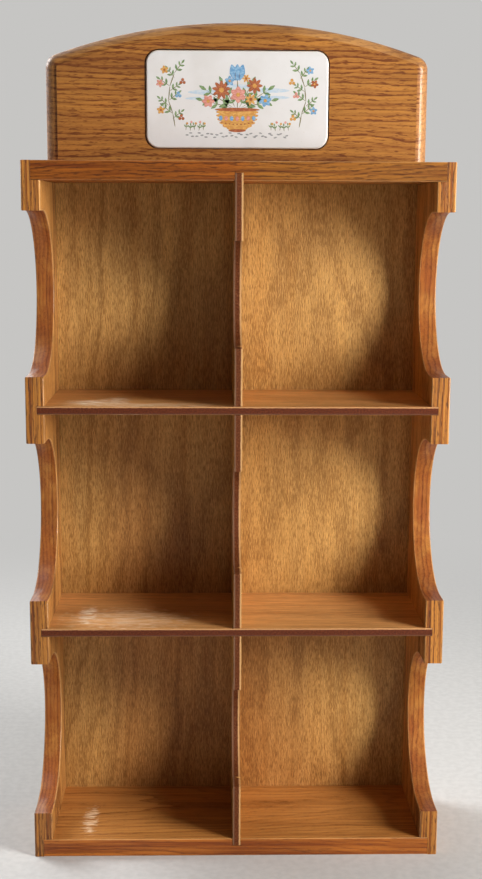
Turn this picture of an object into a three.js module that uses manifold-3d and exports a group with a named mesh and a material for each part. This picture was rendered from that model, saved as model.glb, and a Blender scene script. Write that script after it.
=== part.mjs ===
// Mug rack: an oak case of six open bays under an arched crest board with a tile set in its face.
// Lengths are in millimetres. +Z is up, the front faces -Y, and the origin is the middle of the underside.

import * as THREE from 'three';
import { mergeVertices } from 'three/addons/utils/BufferGeometryUtils.js';
import Module from 'manifold-3d';

// Bays: two side by side in each row, with a shelf between rows
const bayWidth = 127.5;
const bayHeight = 149.5;
const bayDepth = 90;
const shelfNames = ['lower_shelf', 'upper_shelf'];

// Boards
const sideThickness = 12.7;
const boardThickness = 12.7;
const plyThickness = 5.5;
const backThickness = 5.5;
const easedEdge = 0.8;

// Joints
const glueLine = 0.15;
const rabbetLip = 6.35;
const grooveDepth = 5.2;
const backLip = 6.35;
const backOverlap = 4;

// Scoops in the front edges: a straight ledge, then a half round
const sideScoopLedge = 15.4;
const sideScoopRadius = 54.85;
const dividerScoopLedge = 15;
const dividerScoopRadius = 35.7;

// Tile
const tileWidth = 129;
const tileHeight = 67.5;
const tileThickness = 6;
const tileCorner = 9;
const tileEase = 1;
const tileProud = 1.2;
const tileGap = 0.8;

// Crest board
const crestInset = 7;
const crestThickness = 12.7;
const crestBelowTile = 11.6;
const crestAboveTile = 20;
const archDrop = 25;
const roundOver = 8.6;
const roundOverStep = 0.9;
const stepCorner = 1.3;

// Dowels between the crest board and the top board
const dowelDiameter = 6.35;
const dowelInBoard = 7.5;
const dowelInCrest = 12.5;
const dowelInset = 40;
const dowelChamfer = 0.8;

// Nails
const caseNail = { length: 32, shank: 1.6, head: 2.4, headHeight: 1.2 };
const backBrad = { length: 19, shank: 1.2, head: 2, headHeight: 0.8 };
const hangerNail = { length: 10, shank: 1.8, head: 4, headHeight: 0.7 };
const nailGap = 0.15;
const caseNailSpacing = 56;
const bradRows = 4;
const bradColumns = 2;
const bradInset = 2;

// Sawtooth hangers
const hangerInset = 43;
const hangerRise = 60;
const hangerLength = 45;
const hangerHeight = 9.5;
const hangerMetal = 0.8;
const hangerStandOff = 1.6;
const hangerRaised = 26;
const hangerBend = 1.5;
const hangerHoleInset = 4.5;
const toothPitch = 2.6;
const toothDepth = 1.6;

// Steps in the round work
const scoopSteps = 40;
const archSteps = 36;
const cornerSteps = 6;
const easeSteps = 2;
const nailSides = 8;
const dowelSides = 16;

// Sizes that follow from the ones above
const shelfCount = shelfNames.length;
const rowCount = shelfCount + 1;
const caseWidth = 2 * sideThickness + 2 * bayWidth + plyThickness;
const caseHeight = 2 * boardThickness + rowCount * bayHeight + shelfCount * plyThickness;
const caseDepth = bayDepth + backThickness;
const rowPitch = bayHeight + plyThickness;
const front = -caseDepth / 2;
const back = caseDepth / 2;
const backFace = back - backThickness;
const plyRear = backFace - glueLine;
const lapLine = (front + plyRear) / 2;
const boardLength = caseWidth - 2 * rabbetLip - 2 * glueLine;
const panelWidth = caseWidth - 2 * backLip - 2 * glueLine;
const panelHeight = caseHeight - 2 * boardThickness + 2 * backOverlap;
const rabbetDepth = backThickness + glueLine;
const crestWidth = caseWidth - 2 * crestInset;
const crestHeight = crestBelowTile + tileHeight + crestAboveTile;
const crestMiddle = back - crestThickness / 2;
const dowelAcross = crestWidth / 2 - dowelInset;
const hangerAcross = crestWidth / 2 - hangerInset;
const cutPast = 5;

const oak = new THREE.MeshStandardMaterial({ color: 0x9a6534, roughness: 0.45, metalness: 0 });
const crestOak = new THREE.MeshStandardMaterial({ color: 0x8f5a2c, roughness: 0.42, metalness: 0 });
const plywood = new THREE.MeshStandardMaterial({ color: 0xb07f4c, roughness: 0.55, metalness: 0 });
const glaze = new THREE.MeshStandardMaterial({ color: 0xe9e6dc, roughness: 0.15, metalness: 0 });
const dowelWood = new THREE.MeshStandardMaterial({ color: 0xc9a777, roughness: 0.7, metalness: 0 });
const steel = new THREE.MeshStandardMaterial({ color: 0x9a9a96, roughness: 0.35, metalness: 1 });

const wasm = await Module();
wasm.setup();

// A closed mesh as a solid that can be joined and cut
function toSolid(geometry) {
  const bare = geometry.clone();
  bare.deleteAttribute('normal');
  bare.deleteAttribute('uv');
  const welded = mergeVertices(bare);
  return new wasm.Manifold(new wasm.Mesh({
    numProp: 3,
    vertProperties: new Float32Array(welded.attributes.position.array),
    triVerts: new Uint32Array(welded.index.array),
  }));
}

// The solid back as a mesh
function toGeometry(solid) {
  const mesh = solid.getMesh();
  const geometry = new THREE.BufferGeometry();
  geometry.setAttribute('position', new THREE.BufferAttribute(mesh.vertProperties, 3));
  geometry.setIndex(new THREE.BufferAttribute(mesh.triVerts, 1));
  geometry.computeVertexNormals();
  return geometry;
}

// One blank with every cutter taken out of it
function cut(blank, cutters) {
  let solid = toSolid(blank);
  for (const cutter of cutters) {
    solid = solid.subtract(toSolid(cutter));
  }
  return toGeometry(solid);
}

function piece(name, geometry, material) {
  const mesh = new THREE.Mesh(geometry, material);
  mesh.name = name;
  return mesh;
}

// A box from its low and high corners
function block(low, high) {
  const size = high.map((value, axis) => value - low[axis]);
  const centre = high.map((value, axis) => (value + low[axis]) / 2);
  return new THREE.BoxGeometry(...size).translate(...centre);
}

// Turns an outline drawn as (depth, height) and drawn out along the width
const alongWidth = new THREE.Matrix4().makeBasis(
  new THREE.Vector3(0, 1, 0),
  new THREE.Vector3(0, 0, 1),
  new THREE.Vector3(1, 0, 0),
);

// Turns an outline drawn as (width, height) and drawn out towards the front
const towardsFront = new THREE.Matrix4().makeBasis(
  new THREE.Vector3(1, 0, 0),
  new THREE.Vector3(0, 0, 1),
  new THREE.Vector3(0, -1, 0),
);

// An outline drawn out to a thickness, centred on its plane, with its edges eased when ease is given
function slab(outline, thickness, ease = 0, curveSegments = 6) {
  const geometry = new THREE.ExtrudeGeometry(outline, {
    depth: thickness - 2 * ease,
    bevelEnabled: ease > 0,
    bevelThickness: ease,
    bevelSize: ease,
    bevelOffset: -ease,
    bevelSegments: easeSteps,
    curveSegments,
  });
  return geometry.translate(0, 0, ease - thickness / 2);
}

// Middle height of a bay row, and of the shelf above that row
function rowMiddle(row) {
  return boardThickness + bayHeight / 2 + row * rowPitch;
}

function shelfMiddle(shelf) {
  return rowMiddle(shelf) + rowPitch / 2;
}

// Upright in side view: a tall board with one scoop in its front edge for each bay row
function scoopedOutline(bottom, top, rear, ledge, radius) {
  const outline = new THREE.Shape();
  outline.moveTo(rear, bottom);
  outline.lineTo(rear, top);
  outline.lineTo(front, top);
  for (let row = rowCount - 1; row >= 0; row -= 1) {
    const middle = rowMiddle(row);
    outline.lineTo(front, middle + radius);
    outline.lineTo(front + ledge, middle + radius);
    outline.absarc(front + ledge, middle, radius, Math.PI / 2, -Math.PI / 2, true);
    outline.lineTo(front, middle - radius);
  }
  outline.lineTo(front, bottom);
  return outline;
}

// Nail standing on its point, with the top of its head at the origin; clearance makes the hole for it
function nailBody(nail, clearance = 0) {
  const shank = nail.shank / 2 + clearance;
  const head = nail.head / 2 + clearance;
  const neck = -nail.headHeight - clearance;
  const tip = -nail.length - clearance;
  const profile = [
    new THREE.Vector2(0, tip),
    new THREE.Vector2(shank, tip + nail.shank),
    new THREE.Vector2(shank, neck - (head - shank)),
    new THREE.Vector2(head, neck),
    new THREE.Vector2(head, clearance),
    new THREE.Vector2(0, clearance),
  ];
  return new THREE.LatheGeometry(profile, nailSides);
}

// Dowel standing upright and centred, with chamfered ends
function dowelBody(clearance = 0) {
  const radius = dowelDiameter / 2 + clearance;
  const low = -dowelInBoard - clearance;
  const high = dowelInCrest + clearance;
  const profile = [
    new THREE.Vector2(0, low),
    new THREE.Vector2(radius - dowelChamfer, low),
    new THREE.Vector2(radius, low + dowelChamfer),
    new THREE.Vector2(radius, high - dowelChamfer),
    new THREE.Vector2(radius - dowelChamfer, high),
    new THREE.Vector2(0, high),
  ];
  return new THREE.LatheGeometry(profile, dowelSides).rotateX(Math.PI / 2);
}

// Places of the fasteners, which their holes share: [x, y, z] of each head or joint

function caseNailPlaces(hand) {
  const places = [];
  for (const height of [boardThickness / 2, caseHeight - boardThickness / 2]) {
    for (const depth of [-caseNailSpacing / 2, caseNailSpacing / 2]) {
      places.push([hand * caseWidth / 2, depth, height]);
    }
  }
  return places;
}

function backBradPlaces() {
  const places = [];
  const lowest = caseHeight / 2 - panelHeight / 2;
  for (let row = 0; row < bradRows; row += 1) {
    const height = lowest + (row + 0.5) * panelHeight / bradRows;
    for (const hand of [-1, 1]) {
      places.push([hand * (panelWidth / 2 - bradInset), back, height]);
    }
  }
  for (let column = 0; column < bradColumns; column += 1) {
    const across = (column + 0.5) * panelWidth / bradColumns - panelWidth / 2;
    for (const end of [-1, 1]) {
      places.push([across, back, caseHeight / 2 + end * (panelHeight / 2 - bradInset)]);
    }
  }
  return places;
}

// Nail or its hole lying along the width, driven in from the outer face of the side
function sidewaysNail(place, hand, clearance = 0) {
  return nailBody(caseNail, clearance).rotateZ(-hand * Math.PI / 2).translate(...place);
}

// Brad holes in the piece's own frame, which is raised by lift from the base
function bradHoles(lift) {
  return backBradPlaces().map(([x, y, z]) => nailBody(backBrad, nailGap).translate(x, y, z - lift));
}

// Side of the case, with rabbets for the boards and the back, and dadoes for the shelves
function buildSide(hand) {
  const outline = scoopedOutline(0, caseHeight, back, sideScoopLedge, sideScoopRadius);
  const middle = hand * (caseWidth / 2 - sideThickness / 2);
  const blank = slab(outline, sideThickness, easedEdge, scoopSteps / 2)
    .applyMatrix4(alongWidth)
    .translate(middle, 0, 0);

  // A cut that starts past the inner face and stops at a distance from the outer one
  const inwards = (outerDistance, lowY, highY, lowZ, highZ) => {
    const stop = hand * (caseWidth / 2 - outerDistance);
    const start = hand * (caseWidth / 2 - sideThickness - cutPast);
    return block([Math.min(start, stop), lowY, lowZ], [Math.max(start, stop), highY, highZ]);
  };

  const boardRabbet = boardThickness + glueLine;
  const cutters = [
    inwards(rabbetLip, front - cutPast, back + cutPast, -cutPast, boardRabbet),
    inwards(rabbetLip, front - cutPast, back + cutPast, caseHeight - boardRabbet, caseHeight + cutPast),
    inwards(backLip, backFace - glueLine, back + cutPast, 0, caseHeight),
  ];
  for (let shelf = 0; shelf < shelfCount; shelf += 1) {
    const low = shelfMiddle(shelf) - plyThickness / 2 - glueLine;
    const high = shelfMiddle(shelf) + plyThickness / 2 + glueLine;
    cutters.push(inwards(sideThickness - grooveDepth, front - cutPast, plyRear + glueLine, low, high));
  }
  for (const place of caseNailPlaces(hand)) {
    cutters.push(sidewaysNail(place, hand, nailGap));
  }
  cutters.push(...bradHoles(0));
  return cut(blank, cutters);
}

// Top or bottom board in end view, standing on z = 0, with its back rabbet in the underside
function boardProfile() {
  const profile = new THREE.Shape();
  profile.moveTo(front + easedEdge, 0);
  profile.lineTo(back - rabbetDepth, 0);
  profile.lineTo(back - rabbetDepth, backOverlap + glueLine);
  profile.lineTo(back, backOverlap + glueLine);
  profile.lineTo(back, boardThickness);
  profile.lineTo(front + easedEdge, boardThickness);
  profile.absarc(front + easedEdge, boardThickness - easedEdge, easedEdge, Math.PI / 2, Math.PI, false);
  profile.absarc(front + easedEdge, easedEdge, easedEdge, Math.PI, 1.5 * Math.PI, false);
  return profile;
}

// Board over or under the bays, with the divider's groove, in its own frame with the bays below it
function buildBoard(extraCutters) {
  const blank = slab(boardProfile(), boardLength, 0, easeSteps).applyMatrix4(alongWidth);
  const halfGroove = plyThickness / 2 + glueLine;
  const groove = block(
    [-halfGroove, front - cutPast, -cutPast],
    [halfGroove, plyRear + glueLine, grooveDepth],
  );
  const lift = caseHeight - boardThickness;
  const cutters = [groove, ...bradHoles(lift), ...extraCutters];
  for (const hand of [-1, 1]) {
    for (const place of caseNailPlaces(hand)) {
      cutters.push(sidewaysNail(place, hand, nailGap).translate(0, 0, -lift));
    }
  }
  return cut(blank, cutters);
}

// Shelf of plywood, notched from behind where the divider crosses it
function buildShelf() {
  const halfLength = bayWidth + plyThickness / 2 + grooveDepth - glueLine;
  const blank = block([-halfLength, front, -plyThickness / 2], [halfLength, plyRear, plyThickness / 2]);
  const halfNotch = plyThickness / 2 + glueLine;
  const notch = block([-halfNotch, lapLine, -plyThickness], [halfNotch, plyRear + cutPast, plyThickness]);
  return cut(blank, [notch]);
}

// Divider of plywood, slotted from the front where the shelves cross it
function buildDivider() {
  const bottom = boardThickness - grooveDepth + glueLine;
  const top = caseHeight - boardThickness + grooveDepth - glueLine;
  const outline = scoopedOutline(bottom, top, plyRear, dividerScoopLedge, dividerScoopRadius);
  const blank = slab(outline, plyThickness, 0, scoopSteps / 2).applyMatrix4(alongWidth);
  const cutters = [];
  for (let shelf = 0; shelf < shelfCount; shelf += 1) {
    const halfSlot = plyThickness / 2 + glueLine;
    const middle = shelfMiddle(shelf);
    cutters.push(block(
      [-plyThickness, front - cutPast, middle - halfSlot],
      [plyThickness, lapLine + glueLine, middle + halfSlot],
    ));
  }
  return cut(blank, cutters);
}

// Back panel, let into the rabbets all round
function buildBack() {
  const middle = caseHeight / 2;
  const blank = block(
    [-panelWidth / 2, backFace, middle - panelHeight / 2],
    [panelWidth / 2, back, middle + panelHeight / 2],
  );
  return cut(blank, bradHoles(0));
}

function roundedRectangle(width, height, radius) {
  const outline = new THREE.Shape();
  const x = width / 2 - radius;
  const y = height / 2 - radius;
  outline.absarc(x, y, radius, 0, Math.PI / 2, false);
  outline.absarc(-x, y, radius, Math.PI / 2, Math.PI, false);
  outline.absarc(-x, -y, radius, Math.PI, 1.5 * Math.PI, false);
  outline.absarc(x, -y, radius, 1.5 * Math.PI, 2 * Math.PI, false);
  return outline;
}

function arcPoints(x, z, radius, from, to, steps) {
  const points = [];
  for (let step = 0; step <= steps; step += 1) {
    const angle = from + (to - from) * step / steps;
    points.push(new THREE.Vector2(x + radius * Math.cos(angle), z + radius * Math.sin(angle)));
  }
  return points;
}

// Crest board's outline at an inset from its edge: upright ends, round corners and one wide arch
function crestOutline(inset) {
  const halfWidth = crestWidth / 2;
  const archRadius = (halfWidth ** 2 + archDrop ** 2) / (2 * archDrop);
  const archCentre = crestHeight - archRadius;
  const corner = roundOver + stepCorner;
  const cornerX = halfWidth - corner;
  const cornerZ = archCentre + Math.sqrt((archRadius - corner) ** 2 - cornerX ** 2);
  const tangent = Math.atan2(cornerZ - archCentre, cornerX);
  return [
    new THREE.Vector2(halfWidth - inset, 0),
    ...arcPoints(cornerX, cornerZ, corner - inset, 0, tangent, cornerSteps),
    ...arcPoints(0, archCentre, archRadius - inset, tangent, Math.PI - tangent, archSteps).slice(1, -1),
    ...arcPoints(-cornerX, cornerZ, corner - inset, Math.PI - tangent, Math.PI, cornerSteps),
    new THREE.Vector2(inset - halfWidth, 0),
  ];
}

// Closed skin through rings of like outlines, each given with its depth behind the front face
function loft(rings) {
  const count = rings[0].outline.length;
  const positions = rings.flatMap((ring) => ring.outline.flatMap((point) => [point.x, ring.depth, point.y]));
  const faces = [];
  for (let ring = 0; ring < rings.length - 1; ring += 1) {
    for (let step = 0; step < count; step += 1) {
      const here = ring * count + step;
      const next = ring * count + (step + 1) % count;
      faces.push(here, here + count, next);
      faces.push(next, here + count, next + count);
    }
  }
  const last = (rings.length - 1) * count;
  for (const [a, b, c] of THREE.ShapeUtils.triangulateShape(rings[0].outline, [])) {
    faces.push(a, b, c);
  }
  for (const [a, b, c] of THREE.ShapeUtils.triangulateShape(rings[rings.length - 1].outline, [])) {
    faces.push(last + a, last + c, last + b);
  }
  const geometry = new THREE.BufferGeometry();
  geometry.setAttribute('position', new THREE.Float32BufferAttribute(positions, 3));
  geometry.setIndex(faces);
  return geometry;
}

// Crest board: a stepped quarter round follows its ends, corners and arch
function buildCrest() {
  const rings = [{ outline: crestOutline(roundOver), depth: 0 }];
  for (const turn of arcPoints(0, 0, roundOver, 0, Math.PI / 2, cornerSteps)) {
    rings.push({
      outline: crestOutline(roundOver - turn.y),
      depth: roundOverStep + roundOver - turn.x,
    });
  }
  rings.push({ outline: crestOutline(0), depth: crestThickness });
  const blank = loft(rings).translate(0, back - crestThickness, 0);

  const pocketDepth = tileThickness - tileProud + glueLine;
  const pocketOutline = roundedRectangle(tileWidth + 2 * tileGap, tileHeight + 2 * tileGap, tileCorner + tileGap);
  const pocket = slab(pocketOutline, 2 * pocketDepth)
    .applyMatrix4(towardsFront)
    .translate(0, back - crestThickness, crestBelowTile + tileHeight / 2);
  const cutters = [pocket];
  for (const hand of [-1, 1]) {
    cutters.push(dowelBody(glueLine).translate(hand * dowelAcross, crestMiddle, 0));
    for (const [x, z] of hangerNailPlaces(hand)) {
      cutters.push(nailBody(hangerNail, nailGap).translate(x, back + hangerMetal + hangerNail.headHeight, z));
    }
  }
  return cut(blank, cutters);
}

function buildTile() {
  return slab(roundedRectangle(tileWidth, tileHeight, tileCorner), tileThickness, tileEase)
    .applyMatrix4(towardsFront);
}

// Nail holes of one hanger in the crest board's frame
function hangerNailPlaces(hand) {
  const reach = hangerLength / 2 - hangerHoleInset;
  return [-reach, reach].map((offset) => [hand * hangerAcross + offset, hangerRise]);
}

// Hanger in plan: two flat feet joined by a raised middle, all of one thickness of metal
function hangerPlan() {
  const slope = Math.atan2(hangerStandOff, hangerBend);
  const shift = hangerMetal * Math.tan(slope / 2);
  const end = hangerLength / 2;
  const high = hangerRaised / 2;
  const low = high + hangerBend;
  const near = [[-end, 0], [-low, 0], [-high, hangerStandOff], [high, hangerStandOff], [low, 0], [end, 0]];
  const turns = [0, shift, shift, -shift, -shift, 0];
  const far = near.map(([x, y], index) => [x - turns[index], y + hangerMetal]);
  return new THREE.Shape([...near, ...far.reverse()].map(([x, y]) => new THREE.Vector2(x, y)));
}

// Row of pointed notches in the lower edge of the hanger's raised middle
function hangerTeeth() {
  const count = Math.floor(hangerRaised / toothPitch) - 1;
  const start = -count * toothPitch / 2;
  const outline = new THREE.Shape();
  outline.moveTo(start, -cutPast);
  outline.lineTo(start + count * toothPitch, -cutPast);
  outline.lineTo(start + count * toothPitch, 0);
  for (let tooth = count - 1; tooth >= 0; tooth -= 1) {
    outline.lineTo(start + (tooth + 0.5) * toothPitch, toothDepth);
    outline.lineTo(start + tooth * toothPitch, 0);
  }
  return slab(outline, 2 * (hangerStandOff + hangerMetal) + cutPast)
    .applyMatrix4(towardsFront)
    .translate(0, 0, -hangerHeight / 2);
}

// Hanger lying against the crest board's rear face, which is y = 0 here
function buildHanger() {
  const blank = slab(hangerPlan(), hangerHeight);
  const cutters = [hangerTeeth()];
  const reach = hangerLength / 2 - hangerHoleInset;
  for (const offset of [-reach, reach]) {
    cutters.push(nailBody(hangerNail, nailGap).translate(offset, hangerMetal + hangerNail.headHeight, 0));
  }
  return cut(blank, cutters);
}

const rack = new THREE.Group();

// Case
rack.add(piece('left_side', buildSide(-1), oak));
rack.add(piece('right_side', buildSide(1), oak));

const dowelHoles = [-1, 1].map((hand) => (
  dowelBody(glueLine).translate(hand * dowelAcross, crestMiddle, boardThickness)
));
const topBoard = piece('top_board', buildBoard(dowelHoles), oak);
topBoard.position.z = caseHeight - boardThickness;
rack.add(topBoard);

// The bottom board is the same board turned over, so that its groove and rabbet face up
const bottomBoard = piece('bottom_board', buildBoard([]), oak);
bottomBoard.position.z = boardThickness;
bottomBoard.rotation.y = Math.PI;
rack.add(bottomBoard);

shelfNames.forEach((name, shelf) => {
  const mesh = piece(name, buildShelf(), plywood);
  mesh.position.z = shelfMiddle(shelf);
  rack.add(mesh);
});
rack.add(piece('center_divider', buildDivider(), plywood));
rack.add(piece('back_panel', buildBack(), plywood));

// Crest, with everything that it carries
const crest = new THREE.Group();
crest.position.z = caseHeight + glueLine;
crest.add(piece('crest_board', buildCrest(), crestOak));

const tile = piece('tile', buildTile(), glaze);
tile.position.y = back - crestThickness - tileProud + tileThickness / 2;
tile.position.z = crestBelowTile + tileHeight / 2;
crest.add(tile);

for (const [side, hand] of [['left', -1], ['right', 1]]) {
  const dowel = piece(`${side}_crest_dowel`, dowelBody(), dowelWood);
  dowel.position.set(hand * dowelAcross, crestMiddle, -glueLine);
  crest.add(dowel);

  const hanger = new THREE.Group();
  hanger.position.set(hand * hangerAcross, back + glueLine, hangerRise);
  hanger.add(piece(`${side}_hanger`, buildHanger(), steel));
  const reach = hangerLength / 2 - hangerHoleInset;
  [-reach, reach].forEach((offset, index) => {
    const nail = piece(`${side}_hanger_nail_${index + 1}`, nailBody(hangerNail), steel);
    nail.position.set(offset, hangerMetal + hangerNail.headHeight, 0);
    hanger.add(nail);
  });
  crest.add(hanger);
}
rack.add(crest);

// Fasteners of the case
for (const [side, hand] of [['left', -1], ['right', 1]]) {
  caseNailPlaces(hand).forEach((place, index) => {
    const nail = piece(`${side}_case_nail_${index + 1}`, nailBody(caseNail), steel);
    nail.rotation.z = -hand * Math.PI / 2;
    nail.position.set(...place);
    rack.add(nail);
  });
}
backBradPlaces().forEach((place, index) => {
  const brad = piece(`back_brad_${index + 1}`, nailBody(backBrad), steel);
  brad.position.set(...place);
  rack.add(brad);
});

export default rack;
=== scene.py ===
import math

import bmesh
import bpy
from mathutils import Matrix, Vector


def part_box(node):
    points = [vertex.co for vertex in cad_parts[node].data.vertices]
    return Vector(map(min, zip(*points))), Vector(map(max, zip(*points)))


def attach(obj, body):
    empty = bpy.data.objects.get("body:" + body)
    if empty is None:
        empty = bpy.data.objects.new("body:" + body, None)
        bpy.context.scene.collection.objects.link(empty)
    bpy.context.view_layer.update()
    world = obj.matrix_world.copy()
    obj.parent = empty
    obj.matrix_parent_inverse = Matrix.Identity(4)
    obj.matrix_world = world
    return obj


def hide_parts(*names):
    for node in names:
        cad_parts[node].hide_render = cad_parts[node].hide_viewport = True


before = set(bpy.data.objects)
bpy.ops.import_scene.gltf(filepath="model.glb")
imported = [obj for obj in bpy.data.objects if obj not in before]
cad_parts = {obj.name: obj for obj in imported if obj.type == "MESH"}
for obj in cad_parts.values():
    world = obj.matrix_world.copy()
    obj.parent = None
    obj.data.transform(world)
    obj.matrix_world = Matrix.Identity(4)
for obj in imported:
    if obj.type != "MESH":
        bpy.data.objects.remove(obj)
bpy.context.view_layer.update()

MM = 0.001


# Colours and node materials

def stain(red, green, blue):
    """A colour given as it looks, 0 to 255, in the linear numbers that shaders read."""
    def linear(value):
        value = value / 255
        return value / 12.92 if value <= 0.04045 else ((value + 0.055) / 1.055) ** 2.4
    return (linear(red), linear(green), linear(blue), 1.0)


AS_IT_IS = (1.0, 1.0, 1.0, 1.0)
# Where Blender's Mix node keeps its share and its colours
MIX_SHARE, MIX_UNDER, MIX_OVER, MIX_RESULT = 0, 6, 7, 2
# Most of a noise's values lie between these
NOISE_LOW, NOISE_HIGH = 0.3, 0.7


class Nodes:
    """A node tree, built up by short calls that each return a socket."""

    def __init__(self, tree):
        self.tree = tree
        self.tree.nodes.clear()

    def node(self, kind, **settings):
        made = self.tree.nodes.new(kind)
        for setting, value in settings.items():
            setattr(made, setting, value)
        return made

    def feed(self, socket, value):
        """Sets an input, or links it where the value is another node's socket."""
        if isinstance(value, bpy.types.NodeSocket):
            self.tree.links.new(value, socket)
        else:
            socket.default_value = value

    def fed(self, kind, *values, **settings):
        """A new node with its first inputs fed in order."""
        made = self.node(kind, **settings)
        for socket, value in zip(made.inputs, values):
            self.feed(socket, value)
        return made

    def maths(self, operation, a, b=0.0, clamp=False):
        return self.fed("ShaderNodeMath", a, b, operation=operation, use_clamp=clamp).outputs[0]

    def total(self, *values):
        return self.gathered("ADD", values)

    def product(self, *values):
        return self.gathered("MULTIPLY", values)

    def gathered(self, operation, values):
        first, *others = values
        for other in others:
            first = self.maths(operation, first, other)
        return first

    def seen(self):
        """1 for what the camera sees, straight or in a glossy surface; 0 for what only sheds light."""
        rays = self.node("ShaderNodeLightPath").outputs
        return self.maths("MAXIMUM", rays["Is Camera Ray"], rays["Is Glossy Ray"])

    def shaders_mixed(self, share, under, over):
        return self.fed("ShaderNodeMixShader", share, under, over).outputs[0]


class Finish(Nodes):
    """A material with one Principled shader."""

    def __init__(self, name, **fixed):
        self.material = bpy.data.materials.new(name)
        self.material.use_nodes = True
        super().__init__(self.material.node_tree)
        self.output = self.node("ShaderNodeOutputMaterial")
        self.shader = self.node("ShaderNodeBsdfPrincipled")
        self.feed(self.output.inputs["Surface"], self.shader.outputs["BSDF"])
        for socket, value in fixed.items():
            self.feed(self.shader.inputs[socket.replace("_", " ")], value)

    def place(self):
        return self.node("ShaderNodeTexCoord").outputs["Object"]

    def facing(self):
        return self.node("ShaderNodeNewGeometry").outputs["Normal"]

    def mark(self, name):
        return self.node("ShaderNodeAttribute", attribute_name=name).outputs["Fac"]

    def vector(self, operation, a, b=(0, 0, 0)):
        made = self.fed("ShaderNodeVectorMath", a, b, operation=operation)
        return made.outputs["Value" if operation in ("LENGTH", "DOT_PRODUCT") else "Vector"]

    def parts(self, vector):
        """The vector's three numbers, by letter."""
        return dict(zip("XYZ", self.fed("ShaderNodeSeparateXYZ", vector).outputs))

    def spread(self, value, low, high, to_low=0.0, to_high=1.0):
        """Maps low..high smoothly to to_low..to_high, and holds the ends."""
        return self.fed("ShaderNodeMapRange", value, low, high, to_low, to_high,
                        interpolation_type="SMOOTHSTEP").outputs[0]

    def span(self, noise, low=0.0, high=1.0):
        """Noise spread over low..high."""
        return self.spread(noise, NOISE_LOW, NOISE_HIGH, low, high)

    def noise(self, vector, scale=1.0, detail=2.0, rough=0.5):
        made = self.node("ShaderNodeTexNoise")
        self.feed(made.inputs["Vector"], vector)
        for socket, value in (("Scale", scale), ("Detail", detail), ("Roughness", rough)):
            made.inputs[socket].default_value = value
        return made.outputs["Fac"]

    def drawn_out(self, grain, along, across, detail=2.0, rough=0.5):
        """Noise with so many marks to the metre along the grain and across it."""
        return self.noise(self.vector("MULTIPLY", grain, (along, across, across)), detail=detail, rough=rough)

    def placed(self, x, y, z, detail=2.0, rough=0.5):
        """Noise with so many marks to the metre along each axis of the rack."""
        return self.noise(self.vector("MULTIPLY", self.place(), (x, y, z)), detail=detail, rough=rough)

    def swing(self, noise, width):
        """Noise turned into a swing of this width about nothing."""
        return self.product(self.maths("SUBTRACT", noise, 0.5), width)

    def spared(self, mark, share):
        """1, less this share where the mark lies."""
        return self.maths("SUBTRACT", 1.0, self.product(mark, share))

    def chance(self, value):
        """A random number that stays the same for each whole value."""
        made = self.node("ShaderNodeTexWhiteNoise", noise_dimensions="1D")
        self.feed(made.inputs["W"], value)
        return made.outputs["Value"]

    def ramp(self, value, *stops):
        made = self.fed("ShaderNodeValToRGB", value)
        steps = made.color_ramp.elements
        while len(steps) < len(stops):
            steps.new(0.5)
        for step, (position, colour) in zip(steps, stops):
            step.position = position
            step.color = colour if isinstance(colour, tuple) else (colour,) * 3 + (1.0,)
        return made.outputs["Color"]

    def profile(self, value, *stops):
        """A ramp of plain numbers."""
        return self.parts(self.ramp(value, *stops))["X"]

    def mixed(self, share, under, over, blend="MIX"):
        """One colour with another laid over it by share."""
        made = self.node("ShaderNodeMix", data_type="RGBA", blend_type=blend, clamp_factor=True)
        for socket, value in ((MIX_SHARE, share), (MIX_UNDER, under), (MIX_OVER, over)):
            self.feed(made.inputs[socket], value)
        return made.outputs[MIX_RESULT]

    def tinted(self, share, colour, tint):
        """A colour multiplied by a tint, by share."""
        return self.mixed(share, colour, tint, "MULTIPLY")

    def finished(self, colour, roughness, height=None, depth=0.0, strength=0.0):
        """Ends the finish, with the height as a fine relief so many metres deep."""
        self.feed(self.shader.inputs["Base Color"], colour)
        self.feed(self.shader.inputs["Roughness"], roughness)
        if height is not None:
            relief = self.node("ShaderNodeBump")
            for socket, value in (("Strength", strength), ("Distance", depth), ("Height", height)):
                self.feed(relief.inputs[socket], value)
            self.feed(self.shader.inputs["Normal"], relief.outputs["Normal"])
        return self.material


# Wood. A lie of "ZYX" means that the grain runs along z, with y across the board and x through it.

# Across one ring, 0 to 1: how open the wood is, and the dark line where the ring starts
EARLY_WOOD = ((0.0, 0.75), (0.10, 1.0), (0.42, 0.35), (0.75, 0.05), (1.0, 0.6))
RING_LINE = ((0.0, 0.9), (0.07, 1.0), (0.20, 0.4), (0.34, 0.0), (0.92, 0.0), (1.0, 0.9))
FAINTEST_RING, RING_VARIETY = 0.4, 0.8

# How squarely a surface has to face one way before it starts to count, and counts in full
BROAD_FROM, BROAD_FULL = 0.5, 0.95
EDGE_FROM, EDGE_FULL = 0.6, 0.95
END_FROM, END_FULL = 0.45, 0.92
BARE_FROM, BARE_FULL = 0.5, 0.9


def grain_space(finish, lie, start):
    """Object coordinates turned so that x runs along the grain, y across the board, z through it."""
    place = finish.parts(finish.vector("ADD", finish.place(), start))
    return finish.fed("ShaderNodeCombineXYZ", *(place[letter] for letter in lie)).outputs[0]


def grain_facing(finish, lie):
    """How squarely the surface faces along the grain, across the board and through it."""
    facing = finish.parts(finish.facing())
    return [finish.maths("ABSOLUTE", facing[letter]) for letter in lie]


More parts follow.
